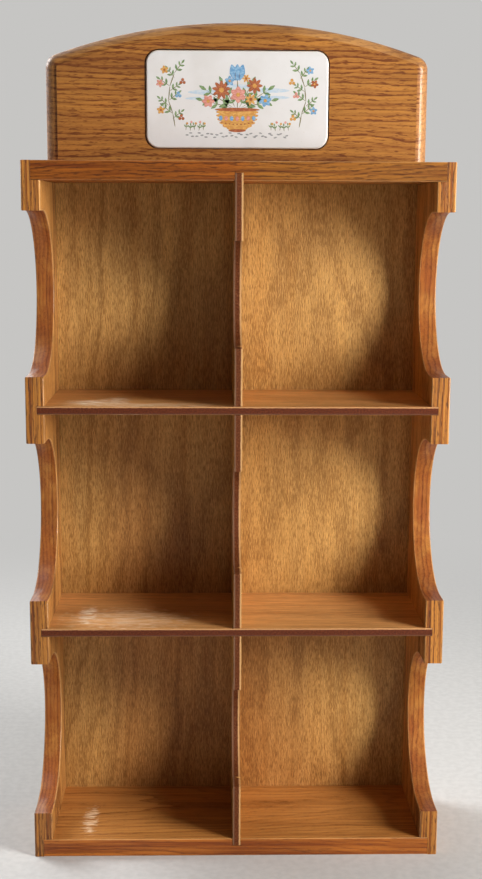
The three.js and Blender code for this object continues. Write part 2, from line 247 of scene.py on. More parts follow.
def growth(finish, grain, heart, pitch, taper, wander):
    """Rings round a heart beside the board: how open the wood is, the dark line where each ring
    starts, and each ring's own tone."""
    slow = finish.drawn_out(grain, 8, 26, detail=3, rough=0.6)
    drift = finish.swing(slow, wander)
    along = finish.product(finish.parts(grain)["X"], taper)
    off_heart = finish.vector("MULTIPLY", finish.vector("SUBTRACT", grain, (0, *heart)), (0, 1, 1))
    radius = finish.total(finish.vector("LENGTH", off_heart), drift, along)
    rings = finish.maths("DIVIDE", radius, pitch)
    phase = finish.maths("FRACT", rings)
    tone = finish.chance(finish.maths("FLOOR", rings))
    strength = finish.total(FAINTEST_RING, finish.product(tone, RING_VARIETY))
    return (finish.product(finish.profile(phase, *EARLY_WOOD), strength),
            finish.product(finish.profile(phase, *RING_LINE), strength), tone)


def scratches_and_glints(finish, rubs_and_glints):
    """Pale scratches along the grain in ragged patches, where things were set down and picked up, brightened
    into painted glints.
    """
    ragged = finish.swing(finish.placed(150, 330, 0, rough=0.6), 2.6)
    marked = 0.0
    for spot, reach, pale in rubs_and_glints:
        away = finish.vector("DIVIDE", finish.vector("SUBTRACT", finish.place(), spot), reach)
        away = finish.total(finish.vector("LENGTH", away), ragged)
        marked = finish.maths("MAXIMUM", marked, finish.spread(away, 1.1, 0.3, 0.0, pale))
    scratch = finish.placed(70, 620, 0, rough=0.6)
    return finish.product(marked, finish.spread(scratch, 0.41, 0.56, 0.0, 0.95))


END_GRAIN_TINT = stain(208, 172, 130)
REDDER_TINT = (1.08, 0.84, 0.64, 1.0)
STREAK_TINTS = ((0.38, stain(192, 156, 122)), (0.50, 1.0), (0.62, (1.32, 1.28, 1.14, 1.0)))
CLOUD_TINTS = ((0.30, 0.84), (0.52, 1.0), (0.72, 1.12))
SAWN_TINTS = ((0.34, stain(226, 190, 150)), (0.50, stain(238, 214, 178)), (0.66, (1.06, 1.04, 0.92, 1.0)))
# Paler tones of worn edges and of scratches: real wear, made paler still by a painted highlight
WORN_OAK_AND_HIGHLIGHT, SCRATCHED_OAK_AND_GLINT = stain(220, 170, 112), stain(250, 220, 182)

OAK_PORE_LENGTH = 10 * MM
OAK_PORES_FROM, OAK_PORES_STEP, OAK_SPECKS_STEP = 0.66, 0.10, 0.12
OAK_PULL = 0.17         # how strongly the pores keep to the open wood
OAK_SPECK_DEPTH = 0.45
OAK_RING_DEPTH = 0.8


def oak(name, lie, heart, start, tones, taper, line_depth, pore_share, streaks,
        pitch=2.6 * MM, wander=16 * MM, pore_width=0.8 * MM, pore_depth=0.80, broad_lines=0.5,
        streak_width=3.0 * MM, edge=AS_IT_IS, flat=AS_IT_IS, gloss=0.40, coat=0.30, edge_wear_and_highlight=0.35,
        rubs_and_glints=(), redder_left_of=None):
    """Stained and varnished oak, cut from a tree whose heart lies at heart, across and through the board."""
    light, middle, dark = tones
    finish = Finish(name, Coat_Weight=coat, Coat_Roughness=0.15, IOR=1.45, Specular_IOR_Level=0.28)
    grain = grain_space(finish, lie, start)
    opened, ring_start, tone = growth(finish, grain, heart, pitch, taper, wander)
    end, side, broad = grain_facing(finish, lie)
    sawn = finish.mark("sawn")

    coarse = finish.drawn_out(grain, 1 / OAK_PORE_LENGTH, 1 / pore_width, rough=0.6)
    fine = finish.drawn_out(grain, 2.4 / OAK_PORE_LENGTH, 2.2 / pore_width, detail=1)
    broken = finish.drawn_out(grain, 0.45 / OAK_PORE_LENGTH, 0.8 / pore_width, detail=3, rough=0.6)
    streak = finish.drawn_out(grain, 6, 1 / streak_width, detail=3, rough=0.65)
    fibre = finish.drawn_out(grain, 28, 2600)
    cloud = finish.noise(grain, scale=14, detail=3)
    pull = finish.product(opened, OAK_PULL)
    least = OAK_PORES_FROM - pore_share
    pores = finish.spread(finish.total(coarse, pull), least, least + OAK_PORES_STEP)
    specks = finish.spread(finish.total(fine, pull), least, least + OAK_SPECKS_STEP)

    # The body, from its rings to its pores
    body = finish.mixed(finish.product(opened, OAK_RING_DEPTH), light, middle)
    body = finish.mixed(finish.spread(fibre, 0.35, 0.8, 0.0, 0.45), body, middle)
    body = finish.mixed(finish.spread(tone, 0.55, 1.0, 0.0, 0.30), body, middle)
    calm = finish.maths("SUBTRACT", streaks, finish.product(sawn, 0.7 * streaks))
    calm = finish.product(calm, finish.spread(broad, BROAD_FROM, BROAD_FULL, 1.0, 0.45))
    body = finish.tinted(calm, body, finish.ramp(streak, *STREAK_TINTS))
    lines = finish.product(ring_start, finish.spread(broken, 0.36, 0.56),
                           finish.spread(broad, BROAD_FROM, BROAD_FULL, line_depth, line_depth * broad_lines),
                           finish.spared(sawn, 0.75))
    body = finish.mixed(lines, body, dark)
    clogged = finish.spared(sawn, 0.7)
    body = finish.mixed(finish.product(specks, clogged, OAK_SPECK_DEPTH), body, dark)
    body = finish.mixed(finish.product(pores, clogged, pore_depth), body, dark)
    body = finish.tinted(1.0, body, finish.ramp(cloud, *CLOUD_TINTS))
    # Broad faces made paler by flat: a painted sheen, as of light glancing off the varnish
    body = finish.tinted(finish.spread(broad, EDGE_FROM, EDGE_FULL), body, flat)
    if redder_left_of is not None:
        bent = finish.total(finish.parts(finish.place())["X"], finish.swing(cloud, 90 * MM))
        redder = finish.spread(bent, redder_left_of - 20 * MM, redder_left_of + 20 * MM, 1.0, 0.0)
        body = finish.tinted(redder, body, REDDER_TINT)

    # Edges and end grain take the stain in their own way; the sawn scoops are darker, in blotches
    body = finish.tinted(finish.spread(side, EDGE_FROM, EDGE_FULL), body, edge)
    drunk = finish.product(finish.spread(end, END_FROM, END_FULL), finish.spared(sawn, 0.5))
    body = finish.tinted(drunk, body, END_GRAIN_TINT)
    blotch = finish.placed(70, 50, 50, detail=3, rough=0.55)
    body = finish.tinted(sawn, body, finish.ramp(blotch, *SAWN_TINTS))
    # Eased edges paler: real wear, and a painted highlight along the arrises
    worn = finish.product(finish.mark("worn"), finish.spread(cloud, 0.35, 0.6, 0.35, 1.0))
    body = finish.mixed(finish.product(worn, edge_wear_and_highlight), body, WORN_OAK_AND_HIGHLIGHT)
    # Pale scratches, partly real wear, partly painted glints
    if rubs_and_glints:
        body = finish.mixed(scratches_and_glints(finish, rubs_and_glints), body, SCRATCHED_OAK_AND_GLINT)

    dull = finish.total(finish.product(pores, 0.22),
                        finish.span(cloud, gloss - 0.05, gloss + 0.07),
                        finish.product(worn, 0.10))
    dull = finish.maths("ADD", dull, finish.product(sawn, 0.26), clamp=True)
    height = finish.maths("SUBTRACT", finish.product(fibre, 0.20),
                          finish.total(pores, finish.product(specks, 0.4)))
    return finish.finished(body, dull, height, 0.12 * MM, 0.7)


VENEER_HEART, VENEER_PITCH = (50 * MM, 120 * MM), 8 * MM
VENEER_TAPER, VENEER_WANDER = 0.05, 30 * MM
VENEER_PULL, VENEER_RING_DEPTH, VENEER_SPECKS = 0.12, 0.45, 0.7
VENEER_PORES_STEP, VENEER_SPECKS_LAG = 0.16, 0.02
VENEER_GLOSS = 0.42
VENEER_LIFT = (1.07, 1.07, 1.06, 1.0)
VENEER_CLOUDS = ((0.30, 0.93), (0.52, 1.0), (0.72, 1.06))
STRIP_TINTS = ((0.36, stain(238, 226, 210)), (0.50, 1.0), (0.64, (1.09, 1.07, 1.02, 1.0)))
# Scratches on the veneer, made paler still as painted glints
SCRATCHED_VENEER_AND_GLINT = stain(254, 238, 212)
# Painted shade: darker and redder
PAINTED_SHADE_TINT = (0.88, 0.76, 0.73, 1.0)
CORE_TINT = stain(186, 160, 136)
GLUE_LINE = 0.2 * MM
TORN_BY = 0.9 * MM
BARE_LIGHT, BARE_MIDDLE, BARE_DARK = stain(204, 168, 122), stain(184, 146, 100), stain(140, 102, 64)
BARE_STRIPS = ((0.34, 0.86), (0.50, 1.0), (0.66, 1.06))


def veneered(name, lie, middle_at, start, tones, edge_tones, pore=(12 * MM, 0.45 * MM), pore_from=0.54,
             pore_depth=0.56, figure=1.0, fibre_depth=0.85, strip_share=1.0, veneer=1.85 * MM, coat=0.06,
             bare_rear=False, painted_shade_low_left=False, rubs_and_glints=()):
    """Oak-faced plywood: long fine-pored veneers, and a dark sawn core showing at the edges."""
    light, middle, dark = tones
    lit_veneer, core, shaded_veneer = edge_tones
    finish = Finish(name, Coat_Weight=coat, Coat_Roughness=0.28, IOR=1.45, Specular_IOR_Level=0.2)
    grain = grain_space(finish, lie, start)
    opened, _, _ = growth(finish, grain, VENEER_HEART, VENEER_PITCH, VENEER_TAPER, VENEER_WANDER)
    length, width = pore
    coarse = finish.drawn_out(grain, 1 / length, 1 / width, rough=0.6)
    fine = finish.drawn_out(grain, 1.8 / length, 2.1 / width, detail=1)
    fibre = finish.drawn_out(grain, 0.26 / length, 700, detail=3, rough=0.6)
    strips = finish.drawn_out(grain, 1.5, 42, detail=4, rough=0.62)
    cloud = finish.noise(finish.vector("MULTIPLY", grain, (0.5, 1, 1)), scale=16, detail=3)
    pull = finish.product(opened, VENEER_PULL * figure)
    pores = finish.spread(finish.total(coarse, pull), pore_from, pore_from + VENEER_PORES_STEP)
    least = pore_from + VENEER_SPECKS_LAG
    specks = finish.spread(finish.total(fine, pull), least, least + VENEER_PORES_STEP)

    face = finish.mixed(finish.product(opened, VENEER_RING_DEPTH * figure), light, middle)
    face = finish.mixed(finish.spread(fibre, 0.40, 0.62, 0.0, fibre_depth), face, middle)
    face = finish.mixed(finish.product(specks, VENEER_SPECKS * pore_depth), face, dark)
    face = finish.mixed(finish.product(pores, pore_depth), face, dark)
    face = finish.tinted(1.0, face, VENEER_LIFT)
    face = finish.tinted(1.0, face, finish.ramp(cloud, *VENEER_CLOUDS))
    face = finish.tinted(strip_share, face, finish.ramp(strips, *STRIP_TINTS))
    # Painted shade over the lower left of the back panel, fading out near the side and higher up
    if painted_shade_low_left:
        climb = finish.vector("DOT_PRODUCT", finish.place(), (1.8, 0.0, 1.0))
        off_side = finish.spread(finish.parts(finish.place())["X"], -115 * MM, -75 * MM)
        face = finish.tinted(finish.product(off_side, finish.spread(climb, 0.28, 0.06)), face, PAINTED_SHADE_TINT)
    # Pale scratches, partly real wear, partly painted glints
    if rubs_and_glints:
        face = finish.mixed(scratches_and_glints(finish, rubs_and_glints), face, SCRATCHED_VENEER_AND_GLINT)

    # The edge: a thin veneer each side of the core, told by the distance from the sheet's middle
    off_middle = finish.maths("SUBTRACT", finish.parts(finish.place())[lie[2]], middle_at)
    ragged = finish.placed(900, 900, 900, detail=3, rough=0.7)
    off_middle = finish.total(off_middle, finish.swing(ragged, TORN_BY))
    ply = finish.mixed(finish.spread(ragged, 0.35, 0.66), finish.tinted(1.0, core, CORE_TINT), core)
    # Pale flecks in the core: torn fibres, partly painted glints
    ply = finish.mixed(finish.spread(ragged, 0.58, 0.68, 0.0, 0.6), ply, shaded_veneer)
    # The veneer on the upper side gets a painted lit tone, the one on the lower side a painted shaded tone
    ply = finish.mixed(finish.spread(off_middle, veneer - GLUE_LINE, veneer + GLUE_LINE), ply, lit_veneer)
    ply = finish.mixed(finish.spread(off_middle, GLUE_LINE - veneer, -GLUE_LINE - veneer), ply, shaded_veneer)
    _, _, through = grain_facing(finish, lie)
    sawn = finish.spread(through, 0.35, 0.75, 1.0, 0.0)
    colour = finish.mixed(sawn, face, ply)
    if bare_rear:
        raw = finish.mixed(finish.spread(fibre, 0.35, 0.68), BARE_LIGHT, BARE_MIDDLE)
        raw = finish.mixed(finish.product(finish.maths("MAXIMUM", pores, specks), 0.4), raw, BARE_DARK)
        raw = finish.tinted(1.0, raw, finish.ramp(strips, *BARE_STRIPS))
        turned = finish.spread(finish.parts(finish.facing())["Y"], BARE_FROM, BARE_FULL)
        colour = finish.mixed(turned, colour, raw)

    dull = finish.total(finish.span(cloud, VENEER_GLOSS - 0.05, VENEER_GLOSS + 0.08),
                        finish.product(sawn, 0.25))
    rise = finish.product(ragged, sawn, 3.0)
    height = finish.total(finish.maths("SUBTRACT", finish.product(fibre, 0.2), pores), rise)
    return finish.finished(colour, dull, height, 0.09 * MM, 0.7)


# Other finishes

def tile_glaze():
    """Ivory glaze over a pale body: worn a little at the rim, bare clay at the back."""
    ivory, shade, freckles = stain(231, 230, 229), stain(223, 221, 218), stain(196, 182, 160)
    rim, bare = stain(214, 200, 180), stain(214, 196, 168)
    finish = Finish("ivory_glaze", Coat_Weight=0.6, Coat_Roughness=0.05, IOR=1.52)
    cloud = finish.noise(finish.place(), scale=38, detail=3)
    colour = finish.mixed(finish.spread(cloud, 0.35, 0.7), ivory, shade)
    freckle = finish.noise(finish.place(), scale=900, detail=1)
    colour = finish.mixed(finish.spread(freckle, 0.74, 0.80, 0.0, 0.35), colour, freckles)
    colour = finish.mixed(finish.product(finish.mark("worn"), 0.5), colour, rim)
    clay = finish.spread(finish.parts(finish.facing())["Y"], BARE_FROM, BARE_FULL)
    colour = finish.mixed(clay, colour, bare)
    dull = finish.total(finish.span(cloud, 0.14, 0.22), finish.product(clay, 0.6))
    return finish.finished(colour, dull, finish.noise(finish.place(), scale=120), 0.10 * MM, 0.5)


def enamel(name, deep, pale):
    """Brushed-on colour in the glaze: pale where the brush ran dry, deeper where it pooled at the rim."""
    finish = Finish(name, Coat_Weight=0.5, Coat_Roughness=0.08, IOR=1.5)
    brush = finish.placed(420, 420, 900, detail=3, rough=0.6)
    pooled = finish.maths("ADD", finish.spread(brush, 0.36, 0.66), finish.product(finish.mark("rim"), 0.45),
                          clamp=True)
    dull = finish.span(brush, 0.18, 0.30)
    return finish.finished(finish.mixed(pooled, pale, deep), dull, brush, 0.03 * MM, 0.5)


def nail_steel(name, tone, film):
    """Bright drawn steel with a film of old varnish and a few dull spots."""
    finish = Finish(name, Metallic=1.0, IOR=1.45)
    drawn = finish.placed(500, 500, 90, detail=3)
    spots = finish.noise(finish.place(), scale=260, detail=4, rough=0.6)
    tarnish = finish.spread(spots, 0.48, 0.66)
    colour = finish.mixed(finish.span(drawn, 0.0, 0.35), tone, stain(120, 116, 110))
    colour = finish.mixed(finish.product(tarnish, 0.75), colour, film)
    dull = finish.total(finish.span(drawn, 0.26, 0.38), finish.product(tarnish, 0.25))
    return finish.finished(colour, dull, spots, 0.04 * MM, 0.5)


def dowel_birch():
    """Pale turned birch with close straight grain."""
    finish = Finish("birch_dowel", Coat_Weight=0.0, IOR=1.45)
    line = finish.drawn_out(grain_space(finish, "ZYX", (0.1, 0.2, 0.3)), 40, 1400, detail=3)
    colour = finish.mixed(finish.span(line), stain(214, 184, 140), stain(178, 142, 98))
    end, _, _ = grain_facing(finish, "ZYX")
    end = finish.spread(end, 0.5, 0.9)
    colour = finish.mixed(finish.product(end, 0.5), colour, stain(150, 112, 72))
    return finish.finished(colour, finish.span(line, 0.55, 0.7), line, 0.06 * MM, 0.6)


# Making pieces

SMOOTH_UNDER = math.radians(52)
SAME_POINT = 2e-6
SAME_PLANE = math.radians(0.3)
FLATNESS_WEIGHT = 80
SHARP_OVER, SHARP_LONGER = math.radians(60), 4 * MM
# How squarely the facets of an eased edge face the way that the board faces
EASED_LEAST, EASED_MOST = 0.2, 0.97
# A scoop's faces don't face sideways or squarely to the rear, and lie behind the board's front
SCOOP_SIDEWAYS, SCOOP_REARWARD, SCOOP_BEHIND = 0.2, 0.9, 2 * MM


def mark_faces(shape, faces, name, value=1.0):
    """Marks the corners of some faces, so that a finish can tell them from their neighbours."""
    layer = shape.loops.layers.float.get(name) or shape.loops.layers.float.new(name)
    for face in faces:
        for corner in face.loops:
            corner[layer] = value


def rounded(shape, edges, by, steps):
    """Rounds some edges over and returns the new faces."""
    return bmesh.ops.bevel(shape, geom=edges, offset=by, offset_type="OFFSET", segments=steps, profile=0.5,
                           affect="EDGES", material=-1, clamp_overlap=False)["faces"]


def put_in_rack(shape, name, finish, stands_for=()):
    """Turns a shape into a piece of the rack, shaded smooth over its gentle edges only."""
    for face in shape.faces:
        face.smooth = True
    for edge in shape.edges:
        edge.smooth = edge.calc_face_angle(math.pi) < SMOOTH_UNDER
    mesh = bpy.data.meshes.new(name)
    shape.to_mesh(mesh)
    shape.free()
    mesh.materials.append(finish)
    piece = bpy.data.objects.new(name, mesh)
    bpy.context.scene.collection.objects.link(piece)
    flat = piece.modifiers.new("flat faces stay flat", "WEIGHTED_NORMAL")
    flat.keep_sharp = True
    flat.weight = FLATNESS_WEIGHT
    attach(piece, "root")
    if stands_for:
        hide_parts(*stands_for)


def sharp_edges(shape):
    """The outward edges that turn sharply, but for the very short ones."""
    return [edge for edge in shape.edges
            if len(edge.link_faces) == 2 and edge.is_convex and edge.calc_length() > SHARP_LONGER
            and edge.calc_face_angle(0.0) > SHARP_OVER]


def worked_copy(node, through, ease=0.0):
    """A merged copy of a CAD node with its facets joined: its scoops are marked as sawn, its eased
    edges as worn, and with an ease its sharp edges are eased as well."""
    shape = bmesh.new()
    shape.from_mesh(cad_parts[node].data)
    bmesh.ops.remove_doubles(shape, verts=shape.verts, dist=SAME_POINT)
    bmesh.ops.dissolve_limit(shape, angle_limit=SAME_PLANE, verts=shape.verts, edges=shape.edges)
    axis = "XYZ".index(through)
    shape.normal_update()
    behind_front = min(vert.co.y for vert in shape.verts) + SCOOP_BEHIND
    scooped = [face for face in shape.faces if through == "X" and abs(face.normal.x) < SCOOP_SIDEWAYS
               and face.normal.y < SCOOP_REARWARD and face.calc_center_median().y > behind_front]
    mark_faces(shape, shape.faces, "sawn", 0.0)
    mark_faces(shape, scooped, "sawn")
    eased = [face for face in shape.faces if EASED_LEAST < abs(face.normal[axis]) < EASED_MOST]
    mark_faces(shape, shape.faces, "worn", 0.0)
    mark_faces(shape, eased, "worn")
    if ease:
        mark_faces(shape, rounded(shape, sharp_edges(shape), ease, 2), "worn")
    return shape


# The case and the crest

CASE_TONES = (stain(190, 130, 66), stain(150, 90, 38), stain(78, 40, 14))
BOARD_TONES = (stain(184, 124, 60), stain(150, 92, 38), stain(90, 49, 18))
CREST_TONES = (stain(180, 122, 53), stain(145, 88, 32), stain(106, 50, 4))
PLY_TONES = (stain(203, 157, 88), stain(172, 125, 64), stain(112, 73, 33))
SHELF_TONES = (stain(216, 161, 101), stain(182, 125, 69), stain(122, 75, 37))
BACK_TONES = (stain(205, 159, 93), stain(172, 126, 67), stain(133, 92, 46))
# Upper veneer, core and lower veneer: the upper painted pale as if lit, the lower painted dark as if shaded
DIVIDER_EDGE_LIT_AND_SHADED = (stain(206, 158, 106), stain(116, 62, 28), stain(124, 90, 68))
SHELF_EDGE_LIT_AND_SHADED = (stain(200, 146, 98), stain(106, 48, 14), stain(94, 55, 38))
PLY_EASE = 0.3 * MM

# Patches of scratches and painted glints, each as its middle, its reach and how pale it is
UPPER_SHELF_SCRATCHES_AND_GLINTS = (((-0.097, -0.028, 0.3227), (0.022, 0.016, 0.02), 1.0),
                    ((-0.084, -0.012, 0.3227), (0.010, 0.012, 0.02), 0.8),
                    ((-0.060, -0.040, 0.3227), (0.055, 0.010, 0.02), 0.5))
LOWER_SHELF_SCRATCHES_AND_GLINTS = (((-0.106, -0.016, 0.1677), (0.0085, 0.024, 0.02), 1.0),
                    ((-0.078, -0.024, 0.1677), (0.048, 0.028, 0.02), 0.4))
BOTTOM_SCRATCHES_AND_GLINTS = (((-0.106, -0.016, 0.0127), (0.006, 0.024, 0.02), 1.0),)

# flat makes the sides' broad faces paler: a painted sheen
SIDE_LOOK = dict(lie="ZYX", tones=CASE_TONES, streaks=1.0, streak_width=1.7 * MM, pore_share=0.04,
                 edge=stain(252, 246, 217), flat=(1.10, 1.22, 1.38, 1.0), edge_wear_and_highlight=0.5)

for board, through, slot, look in (
        ("left_side", "X", "oak_case",
         dict(name="left_side_oak", heart=(-0.02, -0.16), start=(0.31, 0.0, 0.2), taper=0.006, wander=7 * MM,
              line_depth=0.75, broad_lines=0.35, **SIDE_LOOK)),
        ("right_side", "X", "oak_case",
         dict(name="right_side_oak", heart=(-0.01, 0.16), start=(-0.1700, 0.0118, -0.23), pitch=3.4 * MM,
              taper=0.010, wander=12 * MM, line_depth=0.65, broad_lines=0.4, **SIDE_LOOK)),
        ("top_board", "Z", "oak_case",
         dict(name="top_board_oak", lie="XYZ", heart=(-0.05, 0.62), start=(0.4, 0.0, 0.1),
              tones=BOARD_TONES, taper=0.035, edge=stain(208, 198, 151), line_depth=0.35, streaks=0.8,
              pore_width=0.95 * MM, pore_share=0.047, pore_depth=0.74, coat=0.05, gloss=0.50,
              redder_left_of=12 * MM)),
        ("bottom_board", "Z", "oak_case",
         dict(name="bottom_board_oak", lie="XYZ", heart=(0.03, -0.05), start=(-0.4, 0.02, 0.0),
              tones=BOARD_TONES, taper=0.03, edge=stain(252, 220, 173), line_depth=0.30, broad_lines=0.0,
              # flat makes the top face paler: a painted sheen
              streaks=0.8, pore_share=0.008, pore_depth=0.25, flat=(1.12, 1.17, 1.34, 1.0), edge_wear_and_highlight=0.6,
              rubs_and_glints=BOTTOM_SCRATCHES_AND_GLINTS)),
        ("crest_board", "Y", "oak_crest",
         dict(name="crest_oak", lie="XZY", heart=(0.30, 0.12), start=(0.15, 0.0, 0.0), tones=CREST_TONES,
              pitch=3.6 * MM, taper=0.012, wander=18 * MM, pore_width=1.25 * MM, pore_share=0.060,
              pore_depth=0.88, line_depth=0.42, broad_lines=1.0, streaks=1.0, streak_width=2.1 * MM))):
    put_in_rack(worked_copy(board, through), "oak_" + board, oak(**look), [board])

for shelf, shift, rubs_and_glints in (("lower_shelf", 0.37, LOWER_SHELF_SCRATCHES_AND_GLINTS), ("upper_shelf", -0.21, UPPER_SHELF_SCRATCHES_AND_GLINTS)):
    low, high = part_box(shelf)
    put_in_rack(worked_copy(shelf, "Z", ease=PLY_EASE), "ply_" + shelf,
                veneered(shelf + "_ply", "XYZ", (low.z + high.z) / 2, (shift, 0.1, 0.0),
                         SHELF_TONES, SHELF_EDGE_LIT_AND_SHADED, pore_depth=0.42, figure=0.6, fibre_depth=0.6,
                         coat=0.22, rubs_and_glints=rubs_and_glints),
                [shelf])
put_in_rack(worked_copy("center_divider", "X", ease=PLY_EASE), "ply_center_divider",
            veneered("divider_ply", "ZYX", 0.0, (0.0, 0.1, 0.12), PLY_TONES, DIVIDER_EDGE_LIT_AND_SHADED, veneer=1.6 * MM),
            ["center_divider"])
back_low, back_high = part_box("back_panel")
put_in_rack(worked_copy("back_panel", "Y"), "ply_back_panel",
            veneered("back_ply", "ZXY", (back_low.y + back_high.y) / 2, (0.0, 0.31, 0.07),
                     BACK_TONES, SHELF_EDGE_LIT_AND_SHADED, pore=(5.6 * MM, 0.60 * MM), pore_from=0.485, pore_depth=0.72,
                     figure=0.8, fibre_depth=0.5, strip_share=0.9, bare_rear=True, painted_shade_low_left=True),
            ["back_panel"])


# The tile

tile_low, tile_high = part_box("tile")
TILE_FACE = tile_low.y
TILE_MIDDLE = (tile_low + tile_high) / 2
TILE_CORNER, TILE_RIM, TILE_FOOT = 9 * MM, 1.3 * MM, 0.5 * MM
AT_LEVEL = 1e-6


def tile_body():
    """Pressed tile with round corners, a soft glazed rim and a sharper foot."""
    shape = bmesh.new()
    bmesh.ops.create_cube(shape, size=1.0, matrix=Matrix.Translation(TILE_MIDDLE)
                          @ Matrix.Diagonal((*(tile_high - tile_low), 1.0)))
    corners = [e for e in shape.edges if abs((e.verts[0].co - e.verts[1].co).normalized().y) > 0.9]
    rounded(shape, corners, TILE_CORNER, 10)
    for level, ease, steps in ((tile_low.y, TILE_RIM, 5), (tile_high.y, TILE_FOOT, 2)):
        rim = [e for e in shape.edges if all(abs(v.co.y - level) < AT_LEVEL for v in e.verts)]
        rounded(shape, rim, ease, steps)
    shape.normal_update()
    mark_faces(shape, shape.faces, "worn", 0.0)
    mark_faces(shape, [f for f in shape.faces if EASED_LEAST < -f.normal.y < EASED_MOST], "worn")
    return shape


put_in_rack(tile_body(), "glazed_tile", tile_glaze(), ["tile"])

# Each colour of the painting, where it is deep and where it is pale
PAINTS = {
    "sky": (stain(186, 208, 226), stain(214, 224, 230)),
    "blue": (stain(96, 150, 196), stain(150, 192, 222)),
    "slate": (stain(92, 116, 146), stain(140, 160, 182)),
    "rust": (stain(146, 72, 34), stain(190, 110, 66)),
    "ochre": (stain(200, 138, 58), stain(226, 176, 96)),
    "rose": (stain(206, 128, 112), stain(232, 172, 158)),
    "leaf": (stain(92, 126, 74), stain(142, 168, 116)),
    "stem": (stain(108, 104, 62), stain(140, 134, 90)),
    "stone": (stain(130, 132, 132), stain(176, 178, 176)),
}
# The first layer of paint, what each further layer adds, and how far paint sinks into the glaze
PAINT, PAINT_LAYER, PAINT_SUNK = 0.03 * MM, 0.014 * MM, 0.01 * MM
# The layers of a plant, one over the other
STALK, LEAF, PETAL, HEART = 1, 2, 3, 6
# A leaf's turn off its stalk, its width as a share of its length, and how far its ends are pointed
LEAF_TURN, LEAF_WIDTH, LEAF_POINT = 48, 0.42, 0.6
# The length and width of the leaf at a sprig's tip, as shares of the sprig's leaf size
TIP_LENGTH, TIP_WIDTH = 0.8, 0.34
FACING_OUT = Matrix(((1, 0, 0, 0), (0, 0, -1, 0), (0, 1, 0, 0), (0, 0, 0, 1)))


def ray(turn, reach):
    """The point at this reach from nothing, in a direction given in degrees."""
    return reach * math.cos(math.radians(turn)), reach * math.sin(math.radians(turn))


class Painting:
    """Thin dabs of colour on the tile's face, gathered into one piece for each colour. Places and
    sizes are in millimetres from the tile's middle."""

    def __init__(self):
        self.finishes = {name: enamel("paint_" + name, deep, pale) for name, (deep, pale) in PAINTS.items()}
        self.shapes = {name: bmesh.new() for name in PAINTS}

    def dab(self, colour, x, z, length, width, turn=0.0, pointed=0.0, layer=STALK, sides=10):
        """One closed dab, pointed at its tips by pointed."""
        shape = self.shapes[colour]
        ring = bmesh.ops.create_circle(shape, cap_ends=True, segments=sides, radius=0.5)["verts"]
        for vert in ring:
            reach = abs(vert.co.x) * 2
            vert.co.y *= 1 - pointed * reach ** 1.5
        bottom = ring[0].link_faces[0]
        top = bmesh.ops.extrude_face_region(shape, geom=[bottom])["geom"]
        for vert in (v for v in top if isinstance(v, bmesh.types.BMVert)):
            vert.co.z = 1.0
        crown = [f for f in top if isinstance(f, bmesh.types.BMFace)]
        inner = bmesh.ops.inset_region(shape, faces=crown, thickness=0.12 * min(1.0, width / length),
                                       use_even_offset=True)["faces"]
        mark_faces(shape, inner, "rim")
        rise = PAINT + PAINT_LAYER * layer
        laid = (Matrix.Translation((TILE_MIDDLE.x + x * MM, TILE_FACE + PAINT_SUNK, TILE_MIDDLE.z + z * MM))
                @ FACING_OUT @ Matrix.Rotation(math.radians(turn), 4, "Z")
                @ Matrix.Diagonal((length * MM, width * MM, rise, 1)))
        everything = {v for f in [bottom, *crown, *inner] for v in f.verts}
        bmesh.ops.transform(shape, matrix=laid, verts=list(everything))

    def line(self, points, width):
        """A brushed stalk: overlapping long dabs from point to point."""
        for (x0, z0), (x1, z1) in zip(points, points[1:]):
            run = math.hypot(x1 - x0, z1 - z0)
            self.dab("stem", (x0 + x1) / 2, (z0 + z1) / 2, run + width * 1.2, width,
                     math.degrees(math.atan2(z1 - z0, x1 - x0)), 0.25, sides=8)

    def flower(self, colour, x, z, petals, reach, petal, turn=0.0, heart="ochre"):
        """Petals set round a small heart."""
        for step in range(petals):
            angle = turn + step * 360 / petals
            dx, dz = ray(angle, reach)
            self.dab(colour, x + dx, z + dz, *petal, angle, 0.35, PETAL + step % 2)
        self.dab(heart, x, z, reach * 0.95, reach * 0.95, layer=HEART)

    def sprig(self, x, z, reach, turn, pairs, leaf):
        """A straight stalk with pairs of leaves and one at its tip."""
        dx, dz = ray(turn, reach)
        self.line([(x, z), (x + dx, z + dz)], 0.55)
        for pair in range(pairs):
            share = (pair + 0.7) / (pairs + 0.3)
            size = leaf * (1.0 - 0.35 * share)
            for hand in (-1, 1):
                angle = turn + hand * LEAF_TURN
                lean_x, lean_z = ray(angle, size * 0.5)
                self.dab("leaf", x + share * dx + lean_x, z + share * dz + lean_z, size,
                         size * LEAF_WIDTH, angle, LEAF_POINT, LEAF)
        tip_x, tip_z = ray(turn, leaf * 0.3)
        self.dab("leaf", x + dx + tip_x, z + dz + tip_z, leaf * TIP_LENGTH, leaf * TIP_WIDTH, turn,
                 LEAF_POINT, LEAF)

    def hang_up(self):
        for name, shape in self.shapes.items():
            shape.normal_update()
            bmesh.ops.recalc_face_normals(shape, faces=shape.faces)
            put_in_rack(shape, "tile_paint_" + name, self.finishes[name])


picture = Painting()

# Washes of sky, each as its place, its length and its width
WASHES = ((-22, 5, 26, 3.6), (23, 6.4, 28, 3.4), (-27, 0.6, 20, 2.4), (28, 1.6, 18, 2.4), (0, 9, 30, 3))
# The bowl's rows from its foot up, each as its height on the tile and its width
BOWL_ROWS = ((-19.5, 15), (-18.0, 21), (-16.0, 25.5), (-13.6, 28.5), (-11.0, 30), (-8.6, 30))
# The bowl's sprigs, each as its turn, its stalk's length and its leaf size
BOWL_SPRIGS = ((166, 23, 7), (148, 24, 7.5), (118, 20, 7), (62, 20, 7), (33, 24, 7.5), (14, 23, 7))
